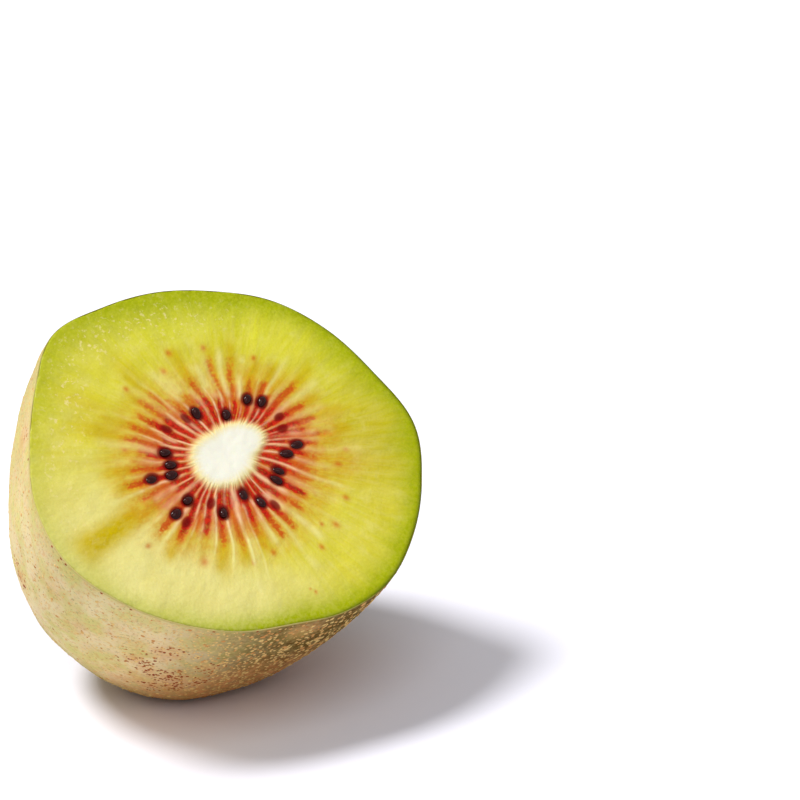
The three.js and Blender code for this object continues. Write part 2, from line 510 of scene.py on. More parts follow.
def turning(name, description, degrees):
    return FloatProperty(
        name=name, description=description, default=np.radians(degrees), subtype="ANGLE"
    )


class KiwiFleshSettings(PropertyGroup):
    pale: tint("Pale flesh", "Flesh towards the lower left", 238, 228, 146)
    flesh: tint("Flesh", "Most of the flesh", 221, 212, 62)
    deep: tint("Deep flesh", "Flesh towards the right", 192, 174, 28)
    lime: tint("Lime", "Flesh towards the top", 224, 220, 54)
    olive: tint("Olive", "Soft clouds and the tails of the streaks", 202, 176, 0)
    green: tint("Green", "The band inside the skin", 164, 174, 0)
    edge: tint("Edge", "The thin line against the skin", 84, 104, 4)
    glow: tint("Glow", "Tint of the pulp between the outer ends", 210, 146, 22)
    heart: tint("Heart", "Tint of the pulp between the streaks", 204, 92, 46)
    amber: tint("Amber", "Halo round the streaks", 208, 104, 24)
    orange: tint("Orange", "Outer part of the streaks", 190, 50, 10)
    scarlet: tint("Scarlet", "Brighter red of the streaks", 212, 38, 18)
    crimson: tint("Crimson", "Deeper red of the streaks", 140, 4, 4)
    shade: tint("Seed shade", "Pulp round and over a seed", 62, 6, 6)
    ray: tint("Ray", "The thin walls between the streaks", 250, 204, 160)
    # The fringe colour also paints the glints near the skin, which are painted highlights.
    fringe: tint("Fringe", "The edge of the core, and wet specks near the skin", 246, 228, 164)
    core: tint("Core", "The white core", 247, 245, 228)
    streak_depth: measure("Streak depth", "How far the streaks are sunk", 0.07)
    crown: measure("Crown", "How far the core stands up", 0.2)


class KiwiSeedSettings(PropertyGroup):
    length: measure("Length", "Length of a seed", 1.7)
    width: measure("Width", "Width of a seed", 1.25)
    height: measure("Height", "Thickness of a seed", 0.95)
    coat: tint("Seed coat", "Colour of the seeds", 40, 3, 4)
    worn: tint("Worn coat", "Lighter spots on the seeds", 84, 22, 20)


class KiwiSkinSettings(PropertyGroup):
    thickness: measure("Thickness", "Thickness of the skin", 0.16)
    khaki: tint("Khaki", "Most of the skin", 208, 191, 130)
    # Painted light: this paler colour lightens the lower-left side.
    painted_light: tint("Fair", "The side that lies lower left", 235, 217, 172)
    sage: tint("Sage", "Greener patches", 208, 201, 114)
    tan: tint("Tan", "Pinker patches", 228, 196, 162)
    # Partly painted shade: this dark olive darkens the lower-right side, over the skin's own olive
    # tone.
    olive: tint("Olive", "The side that lies lower right", 88, 64, 6)
    # Low down near the table, rust is partly painted warm reflected light; round crowded dots it is
    # russet skin.
    rust: tint("Rust", "Skin round crowded dots", 212, 144, 90)
    green: tint("Green", "The back and the stem end", 128, 126, 36)
    russet: tint("Russet", "The brownest dots", 156, 72, 46)
    pale: tint("Pale", "Fine pale specks and dots", 240, 204, 134)
    cork: tint("Cork", "Browner specks and dots", 212, 150, 90)
    bark: tint("Bark", "The foot of each dot", 112, 84, 34)
    scar: tint("Scar", "Skin round the stem scar", 150, 84, 44)
    wood: tint("Wood", "Hollows of the stem scar", 74, 42, 24)
    cut: tint("Cut edge", "The skin's own cut edge at the left", 218, 198, 132)
    rind: tint("Rind", "The skin's own cut edge at the right", 136, 132, 30)
    dots: IntProperty(name="Dots", description="How many places a dot may take", default=8200, min=0)
    dot_size: measure("Dot size", "Mean width of a corky dot", 0.38)


class KiwiStageSettings(PropertyGroup):
    azimuth: turning("Azimuth", "How far the camera is turned to the right", -33)
    pitch: turning("Pitch", "How far the camera looks down", 19)
    distance: measure("Distance", "From the camera to the cut face", 270)
    right: measure("Right", "How far the camera stands to the right of the face", 21.02)
    up: measure("Up", "How far the camera stands above the face", 7.655)
    floor: tint("Floor", "Colour of the floor as it is seen", 246, 245, 255)
    bounce: amount("Bounce", "Share of its light that the floor gives back", 0.82)
    ambient: amount("Ambient", "Light from all round", 0.32)
    key: amount("Key", "Share of the light from behind", 0.91)
    fill: amount("Fill", "Share of the light from the front", 0.21)


# ---- flesh ----


def rim_from_core(angle):
    """The distance from the core's centre to the cut outline, by reading it off as a table."""
    turn = np.linspace(0, 2 * np.pi, 2000, endpoint=False)
    radius = closed_curve(RIM_RADII, turn)
    x = radius * np.cos(turn) - CORE_CENTRE[0]
    y = radius * np.sin(turn) - CORE_CENTRE[1]
    bearing = np.arctan2(y, x) % (2 * np.pi)
    order = np.argsort(bearing)
    return np.interp(angle, bearing[order], np.hypot(x, y)[order], period=2 * np.pi)


def core_edge(angle):
    """The core's radius: its curve, with fine spikes that run out along the rays."""
    teeth = np.abs(soft_noise(on_ring(angle), 0.06, 3))
    return closed_curve(CORE_RADII, angle, np.radians(CORE_FIRST)) + CORE_TEETH * teeth


def spindle(distance, angle, bearing, start, end, half_width, sharpness=3):
    """A streak: a flat bell across its bearing, a smooth start and a smooth end along it."""
    off = angle - np.radians(bearing)
    across = np.abs(distance * np.sin(off))
    length = smooth_step(start - 0.5, start + 0.5, distance)
    length *= 1 - smooth_step(end - 1.4, end + 0.6, distance)
    return (np.cos(off) > 0) * length * np.exp(-((across / half_width) ** sharpness))


def spot(x, y, bearing, distance, along, across):
    """A soft oval at a bearing and distance: a bell along the bearing and one across it."""
    turn = np.radians(bearing)
    outwards = x * np.cos(turn) + y * np.sin(turn) - distance
    sideways = y * np.cos(turn) - x * np.sin(turn)
    return np.exp(-((outwards / along) ** 2) - (sideways / across) ** 2)


def short_streaks(count=12, seed=11):
    """Short streaks in the widest gaps between the main ones, moved a little by chance."""
    rng = np.random.default_rng(seed)
    gaps = np.diff(STREAK_BEARINGS, append=360)
    wide = (STREAK_BEARINGS + gaps / 2)[np.argsort(-gaps)[:count]]
    reach = rng.uniform(6.2, 7.8, len(wide))
    return [(b, r, r + 1.3, 0) for b, r in zip(wide + rng.uniform(-1, 1, len(wide)), reach)]


def streak_masks(distance, reach, bent, core, rng):
    """The red of the streaks, their orange, their amber halo and their olive tails.

    A streak widens with the distance up to 7.5 mm, and narrows by a quarter while its red turns to
    orange. Its bearing, start, width and strength vary a little by chance.
    """
    red, orange, halo, tails = (np.zeros_like(distance) for _ in range(4))
    for bearing, red_end, orange_end, tail_end in (*STREAKS, *short_streaks()):
        bearing = bearing + rng.uniform(-0.4, 0.4)
        start = core + rng.uniform(0.3, 0.9)
        width = 0.08 + 0.05 * np.minimum(distance, 7.5) + rng.uniform(-0.06, 0.06)
        width = width * (1 - 0.25 * smooth_step(red_end - 1, orange_end, distance))
        crimson = spindle(reach, bent, bearing, start, red_end + 0.9, width)
        red = np.maximum(red, crimson * rng.uniform(0.7, 1.0))
        ends = spindle(reach, bent, bearing, start + 0.6, orange_end + 0.3, width * 1.15)
        strong = np.clip((red_end - 5.5) / 4, 0.45, 1) * rng.uniform(0.85, 1.05)
        orange = np.maximum(orange, ends * strong)
        around = spindle(reach, bent, bearing, start, orange_end + 0.8, width * 1.9, 2)
        halo = np.maximum(halo, around)
        if tail_end:
            tail = spindle(distance, bent, bearing, orange_end - 3, tail_end, 0.8, 2)
            tails = np.maximum(tails, 0.8 * tail)
    return red, orange, halo, tails


def wall_mask(distance, bent, core, rng):
    """The pale walls: a thin one and a wide faint one in each gap between streaks, and the rays."""
    pale = np.zeros_like(distance)
    for bearing in STREAK_BEARINGS + np.diff(STREAK_BEARINGS, append=360) / 2:
        width = 0.04 + rng.uniform(0.01, 0.032) * distance
        wall = spindle(distance, bent, bearing, core, rng.uniform(7.5, 11), width, 2)
        pale = np.maximum(pale, wall * rng.uniform(0.25, 0.9))
        start, end = rng.uniform(7.5, 9.5), rng.uniform(13, 19)
        width = rng.uniform(0.02, 0.055) * distance
        wall = spindle(distance, bent, bearing, start, end, width, 2)
        pale = np.maximum(pale, wall * rng.uniform(0.1, 0.5))
    for *ray, strength in RAYS:
        pale = np.maximum(pale, strength * spindle(distance, bent, *ray, 2))
    return pale


def face_pattern(x, y):
    """What the cut face shows at points across and up it, as named masks from 0 to 1."""
    distance, angle = np.hypot(x, y), np.arctan2(y, x)
    place, unrolled = np.stack([x, y, np.zeros_like(x)], -1), on_ring(angle, distance, 9)
    rim = rim_from_core(angle) - distance
    core = core_edge(angle)
    # The streaks turn as they near the core, waver a little and end unevenly.
    nearing = 1 - smooth_step(SWEEP_END, SWEEP_START, distance)
    bent = angle - np.radians(closed_curve(SWEEP, angle)) * nearing
    bent = bent + np.radians(0.7) * soft_noise(place, 2.4, 21)
    reach = distance + 0.5 * soft_noise(place, 0.7, 22)

    rng = np.random.default_rng(5)
    red, orange, halo, olive = streak_masks(distance, reach, bent, core, rng)
    ray = wall_mask(distance, bent, core, rng)
    # Further out they break up into threads, and the rays do so all along.
    further = smooth_step(6, 9.5, distance)
    red = red * np.clip(1 + further * (1.2 * soft_noise(unrolled, 0.6, 23) + 0.25), 0, 1)
    orange = orange * np.clip(1 + further * (0.8 * soft_noise(unrolled, 0.9, 24) + 0.4), 0, 1)
    ray = ray * np.clip(1 + 0.9 * soft_noise(unrolled, 1.1, 25), 0, 1)

    # Seeds, flecks and clouds are soft ovals. The clouds and the olive wedge hide the rays.
    shade, fleck = np.zeros_like(x), np.zeros_like(x)
    for bearing, away, proud in SEEDS:
        along, across, strength = BURIED_SHADE if proud < BURIED else SEED_SHADE
        dark = smooth_step(0.15, 0.9, spot(x, y, bearing, away, along, across))
        shade = np.maximum(shade, strength * dark)
    for bearing, away, size in FLECKS:
        fleck = np.maximum(fleck, spot(x, y, bearing, away, size * 1.2, size))
    for *oval, strength in CLOUDS:
        cloud = strength * spot(x, y, *oval)
        olive = np.maximum(olive, cloud)
        ray = ray * (1 - np.clip(cloud, 0, 0.9))
    bearing, start, end, spread = WEDGE
    wedge = spindle(distance, angle, bearing, start, end, spread * distance)
    wedge = wedge * (1 - 0.35 * smooth_step(end - 3, end, reach))
    olive = np.maximum(olive, wedge * smooth_step(start, start + 4, distance))
    ray = ray * (1 - np.clip(wedge, 0, 0.9))

    # The heart tints what is inside its curve, and a glow fades out round it.
    heart = closed_curve(HEART_RADII, angle)
    inside = smooth_step(core - 0.1, core + 0.8, distance)
    glow = 0.9 * (1 - smooth_step(heart - 0.5, heart + 6.5, reach))
    for *oval, strength in TAN_PATCHES:
        glow = np.maximum(glow, strength * spot(x, y, *oval))
    # Two sides differ in colour, and a green band and a dark line follow the skin. Painted glints
    # lie a little in from it at the upper left.
    side = facing(angle, PALE_SIDE) * smooth_step(8, 18.5, distance)
    top = smooth_step(0, 1, facing(angle, LIME_SIDE)) * smooth_step(8, 19, distance)
    fingers = np.maximum(rim * (1 + 0.3 * soft_noise(on_ring(angle), 0.09, 27)), 0)
    band = np.exp(-((fingers / closed_curve(BAND_WIDTH, angle)) ** 1.8))
    # Painted highlights: the zone a little in from the skin at the upper left where pale glint
    # specks are painted.
    painted_glints = np.exp(-(((rim - 4.0) / 2.8) ** 2)) * smooth_step(0.1, 0.95, facing(angle, PAINTED_GLINT_SIDE))
    return {
        "core": 1 - smooth_step(core - 1.1, core + 0.6, distance),
        "fringe": 1 - smooth_step(core - 0.2, core + 1.3, distance),
        "red": red, "orange": orange, "halo": halo, "olive": np.clip(olive, 0, 1),
        "ray": ray, "shade": shade, "fleck": fleck,
        "heart": inside * (1 - smooth_step(heart - 2.6, heart + 1.6, reach)),
        "glow": inside * glow,
        "side": 0.5 + 0.5 * side,
        "top": top,
        "band": np.clip(closed_curve(BAND_STRENGTH, angle) * band, 0, 1),
        "line": np.exp(-((rim / 0.45) ** 2)) * np.clip(facing(angle, EDGED_SIDE), 0.12, 0.8),
        "painted_glints": 0.65 * painted_glints,
    }


def face_height(x, y, pattern, settings):
    """How far the face stands out: core up, streaks sunk, seeds in sockets, edge rolled down."""
    distance, angle = np.hypot(x, y), np.arctan2(y, x)
    rim = rim_from_core(angle) - distance
    place = np.stack([x, y, np.zeros_like(x)], -1)
    sunk = np.maximum(pattern["red"], 0.7 * pattern["orange"]) - 0.3 * pattern["ray"]
    height = settings.crown / MM * pattern["fringe"] - settings.streak_depth / MM * sunk
    rays = rough_noise(on_ring(angle, distance / 60), 0.035, 31)
    height += 0.02 * rays * smooth_step(4, 7, distance)
    fine = 0.03 * np.exp(-rim / 4) * rough_noise(place, 0.5, 35)
    height += 0.06 * rough_noise(place, 2.2, 33) + fine
    for bearing, away, proud in SEEDS:
        height -= 0.12 * proud * spot(x, y, bearing, away, 1.1, 0.85)
    return height - 0.05 * (1 - smooth_step(0, 0.7, rim)) ** 2


def make_flesh(settings, thickness):
    """The flesh as one closed body of rings round the core's centre.

    On the face, ring t is at the outline's distance times t - g (sin(2 pi (t - g)) + sin(2 pi g))
    / 2 pi, which draws the rings together in the red heart. Below the edge the rings follow the
    inside of the skin down to the stem end.
    """
    columns, face_rows, wall_rows = 704, 122, 12
    gather = 0.35
    # How far the edge lies in from the outline and the wall from the skin, how far the wall's top
    # lies under the edge, and how far the flesh stays off the table.
    tuck, gap, lip, clearance = 0.6 * thickness, 0.8, 0.6, 0.2
    angle = full_turn(columns)
    t = np.linspace(1, 0, face_rows + 1)[:-1, None]
    wave = np.sin(2 * np.pi * (t - gather)) + np.sin(2 * np.pi * gather)
    distance = (rim_from_core(angle) - tuck) * (t - gather / (2 * np.pi) * wave)
    x, y = distance * np.cos(angle), distance * np.sin(angle)
    pattern = face_pattern(x, y)
    height = face_height(x, y, pattern, settings)
    face = np.stack([x + CORE_CENTRE[0], y + CORE_CENTRE[1], height], -1)

    edge = face[0]
    around = np.arctan2(edge[:, 1], edge[:, 0])[None, :]
    wall = skin_place(around, np.linspace(np.pi / 2, 0, wall_rows + 1)[1:, None])
    inset = 1 - (tuck + gap) / np.maximum(np.hypot(wall[..., 0], wall[..., 1]), 1)
    wall = wall * inset[..., None]
    wall[-1] = edge - np.array([0, 0, lip])
    deepest = 1.5 * thickness - HALF_LENGTH + DIMPLE_DEPTH
    ends = np.array([[0, 0, deepest], [*CORE_CENTRE, face[-1, :, 2].mean()]])
    points = np.concatenate([wall.reshape(-1, 3), face.reshape(-1, 3), ends])

    values = {}
    for key, value in pattern.items():
        below = np.full(wall_rows * columns, 1.0 if key in ("band", "line") else 0.0)
        centre = 1.0 if key in ("core", "fringe") else 0.0
        values[key] = np.concatenate([below, value.ravel(), [0.0, centre]])
    centred = points[:, :2] - CORE_CENTRE
    away = np.maximum(np.hypot(*centred.T), 1e-6)
    values["along_rays"] = np.stack([*(centred.T / away), away / 10], -1)
    faces = lathe_faces(wall_rows + face_rows, columns)
    return build_mesh("flesh", leaned(points, clearance), faces, values)


def flesh_material(settings):
    """Wet flesh: colours laid over each other by the face's masks, whose edges noise breaks up."""
    material, sheet, shader = surface_material(
        "cut kiwi flesh", ior=1.37, specular_ior_level=0.08, subsurface_weight=0.1,
        subsurface_scale=0.0012, subsurface_radius=(1.0, 0.7, 0.25),
        coat_roughness=0.1, coat_ior=1.33,
    )
    noise, share, ramp, mask = sheet.noise, sheet.share, sheet.ramp, sheet.mask
    place, rays = sheet.millimetres(), sheet.direction("along_rays")
    fibres = noise(sheet.stretched(rays, (1, 1, 0.06)), 0.03)
    threads = noise(sheet.stretched(rays, (1, 1, 0.35)), 0.035, seed=4)
    cells = noise(place, 0.42, seed=7)
    grains = noise(place, 0.5, 0.38, 0.62, 31)
    uneven = sheet.math("ADD", share(grains, 0.7), share(threads, 0.3))
    uneven = sheet.math("ADD", uneven, 0.5)

    def broken(name, strength, low=0.15, high=0.85):
        """A mask whose edge follows the grain and the threads."""
        return share(ramp(share(mask(name), uneven), low, high), strength)

    side, heart, shade, core = mask("side"), mask("heart"), mask("shade"), mask("core")
    specks = ramp(noise(place, 0.6, 0.54, 0.72, 21), 0, 1, 0.05, 1.0)
    colour = sheet.layers(
        settings.deep,
        (ramp(side, 0.06, 0.56), settings.flesh),
        (ramp(side, 0.66, 1.0), settings.pale),
        (mask("top"), settings.lime),
        (share(noise(place, 4.5, 0.32, 0.7, 3), 0.2), settings.deep),
        (share(noise(place, 2.2, 0.5, 0.75, 11), 0.25), settings.pale),
        (share(fibres, 0.2), settings.pale),
        (share(cells, 0.08), settings.olive),
        (share(mask("olive"), ramp(threads, 0, 1, 0.85, 1.0)), settings.olive),
        (share(mask("band"), ramp(cells, 0, 1, 0.8, 1.0)), settings.green),
        (mask("line"), settings.edge),
        (share(mask("glow"), ramp(threads, 0, 1, 0.55, 1.0)), settings.glow),
        (share(heart, ramp(threads, 0, 1, 0.65, 0.95)), settings.heart),
        (broken("halo", 0.6, 0.1, 1.1), settings.amber),
        (broken("orange", 0.9), sheet.mix(share(grains, 0.75), settings.orange, settings.amber)),
        (share(mask("fleck"), 0.75), sheet.mix(share(grains, 0.5), settings.amber, settings.orange)),
        (broken("red", 0.95), sheet.mix(share(grains, 0.9), settings.crimson, settings.scarlet)),
        (mask("ray"), sheet.mix(heart, settings.pale, settings.ray)),
        (share(ramp(shade, 0.0, 0.5), 0.85), settings.crimson),
        (share(ramp(shade, 0.3, 1.0), 0.9), settings.shade),
        (mask("fringe"), settings.fringe),
        (core, settings.core),
        # Painted highlights: pale glint specks in the fringe colour, in the zone near the skin.
        (share(mask("painted_glints"), specks), settings.fringe),
    )
    sheet.feed(shader["Coat Weight"], share(sheet.math("SUBTRACT", 1.0, core), 0.1))
    grain = sheet.grain(place, 0.33)
    height = share(grain["Height"], ramp(core, 0, 1, 1.0, 0.3))
    sheet.finish(shader, colour, grain, (0.28, 0.5), height, (0.35, 0.1))
    return material


# ---- seeds ----


def make_seeds(settings):
    """Drop-shaped seeds along their bearings.

    At a share s of the length the width is sqrt(1 - s^2) (1 + 0.2 s), so the end towards the core
    is the narrow one. Each is turned, tilted and sized a little differently by a fixed seed.
    """
    columns, rows, depth, rise = 24, 15, 0.54, 0.42
    rng = np.random.default_rng(17)
    s = np.cos(np.linspace(np.pi, 0, rows + 2))[1:-1, None]
    around = full_turn(columns)
    girth = np.sqrt(1 - s**2) * (1 + 0.2 * s)
    rings = np.stack([s + 0 * around, girth * np.cos(around), girth * np.sin(around)], -1)
    half = np.array([settings.length, settings.width, settings.height]) / 2 / MM
    drop = np.concatenate([rings.reshape(-1, 3), [[-1, 0, 0], [1, 0, 0]]]) * half

    seeds = []
    for bearing, away, proud in (seed for seed in SEEDS if seed[2] >= BURIED):
        turn = np.radians(bearing + rng.uniform(-14, 14))
        roll, tilt = np.radians(rng.uniform(-12, 12, 2))
        turned = Matrix.Rotation(turn, 3, "Z") @ Matrix.Rotation(tilt, 3, "Y")
        turned = np.array(turned @ Matrix.Rotation(roll, 3, "X"))
        x = CORE_CENTRE[0] + away * np.cos(np.radians(bearing))
        y = CORE_CENTRE[1] + away * np.sin(np.radians(bearing))
        size = rng.uniform((0.85, 0.75, 0.8), (1.08, 1.02, 1.0))
        seeds.append(np.array([x, y, rise * proud - depth]) + (drop * size) @ turned.T)
    points = leaned(np.concatenate(seeds))
    return build_mesh("seeds", points, lathe_faces(rows, columns, len(seeds)))


def seed_material(settings):
    """A wet, nearly black seed coat with a finely netted surface."""
    material, sheet, shader = surface_material("wet seed coat", ior=1.45, specular_ior_level=0.16)
    net = sheet.grain(sheet.millimetres(), 0.16)
    colour = sheet.mix(sheet.ramp(net["Tone"], 0.5, 0.75), settings.coat, settings.worn)
    sheet.finish(shader, colour, net, (0.04, 0.09), net["Height"], (0.2, 0.03))
    return material


# ---- skin ----


def skin_place(angle, turn):
    """A point of the skin: turn runs from 0 on the cut outline to a right angle at the stem end.

    The outline shrinks as cos(turn) to a power while the depth grows as sin(turn) to another, a
    superellipse, with waves round the shoulder and a dimple at the stem end.
    """
    waves = 0
    for size, count, crest in SHOULDER_WAVES:
        waves = waves + size * np.cos(count * (angle - np.radians(crest)))
    narrowing = np.clip(np.cos(turn), 0, 1) ** (2 / SIDE_FULLNESS)
    radius = closed_curve(RIM_RADII, angle) * narrowing * (1 + waves * np.sin(2 * turn) ** 2)
    dimple = DIMPLE_DEPTH * np.exp(-((radius / DIMPLE_SPREAD) ** 2)) * np.sin(turn) ** 8
    depth = HALF_LENGTH * np.sin(turn) ** (2 / END_FULLNESS) - dimple
    return np.stack([radius * np.cos(angle), radius * np.sin(angle), -depth], -1)


def turn_at(depth):
    """The turn at which the skin lies at a depth below the cut face, away from the dimple."""
    return np.arcsin((depth / HALF_LENGTH) ** (END_FULLNESS / 2))


def even_turns(count, by_area=False):
    """Turns that space rings evenly along the skin, or so that they part it in equal areas."""
    turn = np.linspace(0, np.pi / 2, 4000)
    line = skin_place(np.zeros_like(turn), turn)
    step = np.linalg.norm(np.diff(line, axis=0), axis=1)
    if by_area:
        step = step * (line[1:, 0] + line[:-1, 0]) / 2
    travelled = np.concatenate([[0], np.cumsum(step)])
    return np.interp(np.linspace(0, 1, count) * travelled[-1], travelled, turn)


def skin_relief(points):
    """Low unevenness of the skin: noise of three sizes, fading out at the cut edge."""
    fade = smooth_step(0, 2.5, -points[..., 2])
    swell = 0.16 * soft_noise(points, 7.0, 41) + 0.06 * soft_noise(points, 2.4, 42)
    return fade * (swell + 0.03 * soft_noise(points, 0.8, 43))


def crowding(points):
    """How near points are to a crowd of brown dots: a bell round each one."""
    near = np.zeros(points.shape[:-1])
    for bearing, depth, spread, _, brown in CROWDS:
        away = np.linalg.norm(points - skin_place(np.radians(bearing), turn_at(depth)), axis=-1)
        near = np.maximum(near, 0.7 * brown * np.exp(-((away / (1.5 * spread)) ** 2)))
    return near


def skin_sides(points):
    """The skin's sides as masks: olive with painted shade, green, painted light, and brown low down
    and where dots crowd.
    """
    turn = np.arctan2(points[..., 1], points[..., 0])
    depth = -points[..., 2] + 3 * soft_noise(points, 9.0, 53)
    crowds = crowding(points)
    # Low down towards the table the brown is partly painted warm reflected light and partly russet.
    low = smooth_step(8, 20, depth) * smooth_step(0.3, 1.0, facing(turn, REFLECTED_BROWN_SIDE))
    back = smooth_step(0.0, 0.8, facing(turn, GREEN_SIDE))
    return {
        # The olive side is olive skin, partly darkened by painted shade.
        "olive": smooth_step(0.22, 0.95, facing(turn, SHADED_OLIVE_SIDE)) * (1 - 0.8 * crowds),
        "green": np.maximum(back, 0.8 * smooth_step(18, 30, depth)),
        "brown": np.maximum(low, crowds),
        # Painted light: the lower-left side is lightened.
        "painted_light": smooth_step(0.55, 0.95, facing(turn, PAINTED_LIGHT_SIDE)) * smooth_step(0, 5, depth),
    }


def make_skin(settings):
    """The skin as one closed shell: rings up its outside, over the cut edge and down its inside."""
    columns, rows, inner_rows = 560, 148, 10
    outer_lip, inner_lip = 0.10, 0.3
    edge_insets, edge_depths = (0.25, 0.6), (0.045, 0.03)
    thickness = settings.thickness / MM
    angle = full_turn(columns)
    outer = skin_place(angle, even_turns(rows + 1)[-2::-1, None])
    normal = -outward(outer)
    normal[-1] = normal[-2]
    outer = outer + normal * skin_relief(outer)[..., None]
    outer[-1, :, 2] -= outer_lip
    edge = outer[-1:] - thickness * np.array(edge_insets)[:, None, None] * normal[-1:]
    edge[..., 2] = -np.array(edge_depths)[:, None]
    inside = skin_place(angle, even_turns(inner_rows + 1)[:-1, None])
    inner = inside - thickness * outward(inside)
    inner[0, :, 2] = -inner_lip

    last = HALF_LENGTH - DIMPLE_DEPTH
    ends = leaned(np.array([[0, 0, -last], [0, 0, thickness - last]]))
    points = np.concatenate([leaned(outer), leaned(edge), leaned(inner, thickness)])
    points = np.concatenate([points.reshape(-1, 3), ends])
    local = np.concatenate([outer, edge, inner])
    depth, turn = -local[..., 2], np.arctan2(local[..., 1], local[..., 0])
    away = np.hypot(local[..., 0], local[..., 1])
    values = {
        "cut": 1 - smooth_step(0.0, 0.2, depth),
        "cream": smooth_step(-0.2, 0.8, facing(turn, CREAM_SIDE)),
        "stem": (1 - smooth_step(2.5, 8.0, away)) * smooth_step(20, 30, depth),
        **skin_sides(local),
    }
    # The shell's two end points are at the stem end, next to the last ring.
    values = {key: np.append(value, value.ravel()[-2:]) for key, value in values.items()}
    return build_mesh("skin", points, lathe_faces(rows + 2 + inner_rows, columns), values)


def skin_material(settings):
    """Thin matt skin: khaki, olive and green sides, painted light and shade, soft patches, specks
    and a cut edge.
    """
    material, sheet, shader = surface_material(
        "kiwi skin", ior=1.42, specular_ior_level=0.04, subsurface_weight=0.04,
        subsurface_scale=0.0006,
    )
    share, ramp, mask = sheet.share, sheet.ramp, sheet.mask
    place = sheet.millimetres()

    def noise(size, low, high, seed):
        return sheet.noise(place, size, low, high, seed)

    olive, green, cut = mask("olive"), mask("green"), mask("cut")
    darker = sheet.math("MAXIMUM", olive, green)
    colour = sheet.layers(
        settings.khaki,
        # Painted light: the lower-left side is lightened.
        (mask("painted_light"), settings.painted_light),
        (share(noise(4.0, 0.38, 0.66, 1), 0.75), settings.sage),
        (share(noise(3.0, 0.42, 0.72, 9), 0.5), settings.tan),
        # Partly painted shade: the olive side towards the lower right is darkened.
        (share(olive, ramp(noise(1.1, 0.3, 0.65, 5), 0, 1, 0.8, 1.0)), settings.olive),
        (share(green, ramp(noise(3.5, 0.3, 0.7, 6), 0, 1, 0.8, 1.0)), settings.green),
        # The brown is russet where dots crowd, and low down it is partly painted warm reflected
        # light.
        (share(mask("brown"), ramp(noise(1.6, 0.3, 0.7, 8), 0, 1, 0.5, 1.0)), settings.rust),
        (share(noise(0.45, 0.5, 0.66, 17), ramp(darker, 0, 1, 0.4, 0.15)), settings.pale),
        (share(noise(0.55, 0.52, 0.66, 12), ramp(darker, 0, 1, 0.35, 0.2)), settings.cork),
        (share(noise(0.4, 0.58, 0.68, 23), 0.3), settings.olive),
        (share(mask("stem"), 0.85), settings.scar),
        (cut, settings.rind),
        (share(cut, mask("cream")), settings.cut),
    )
    grain = sheet.grain(place, 0.22)
    sheet.finish(shader, colour, grain, (0.5, 0.72), grain["Height"], (0.4, 0.06))
    return material


def dot_places(settings):
    """Where the dots sit: their angles and turns, and how wide and how brown each one is.

    Dot n is at the fractions of n times 0.7549 round the fruit and n times 0.5698 of its area
    down it, two steps that never line up, moved a little by chance. Some sides keep more of them
    than others. The crowds and the spots beside the cut are added to these.
    """
    round_step, down_step = 0.7548776662, 0.5698402910
    bare_rim, bare_end = 0.012, 0.002
    rng = np.random.default_rng(29)
    number = np.arange(settings.dots)
    angle = 2 * np.pi * ((number * round_step + rng.normal(0, 0.004, len(number))) % 1)
    area = (bare_rim + (1 - bare_rim) * ((number * down_step) % 1)) * (1 - bare_end)
    turn = np.interp(area, np.linspace(0, 1, 2000), even_turns(2000, by_area=True))
    sides = skin_sides(skin_place(angle, turn))
    kept = rng.uniform(0, 1, len(number)) < 0.28 + 0.6 * sides["olive"] + 0.2 * sides["green"]
    angle, turn = angle[kept], turn[kept]
    dense = np.maximum(sides["olive"], sides["green"])[kept]
    size = (0.6 + 0.55 * dense) * rng.lognormal(0, 0.28, len(angle))
    tone = rng.uniform(0.1, 0.75, len(angle)) - 0.2 * dense
    spots = [(angle, turn, size, tone)]

    for bearing, depth, spread, count, brown in CROWDS:
        away = rng.normal(0, spread, (2, count))
        angle = np.radians(bearing) + away[0] / MEAN_RADIUS
        turn = turn_at(np.clip(depth + away[1], 0.01 * HALF_LENGTH, 0.95 * HALF_LENGTH))
        tone = brown + rng.uniform(-0.3, 0.15, count)
        spots.append((angle, turn, rng.uniform(0.5, 1.1, count), tone))
    turn = turn_at(rng.uniform(0.3, 0.5, len(CUT_SPOTS)))
    plain = np.ones(len(CUT_SPOTS))
    spots.append((np.radians(CUT_SPOTS), turn, 0.9 * plain, plain))
    return [np.concatenate(values) for values in zip(*spots)]


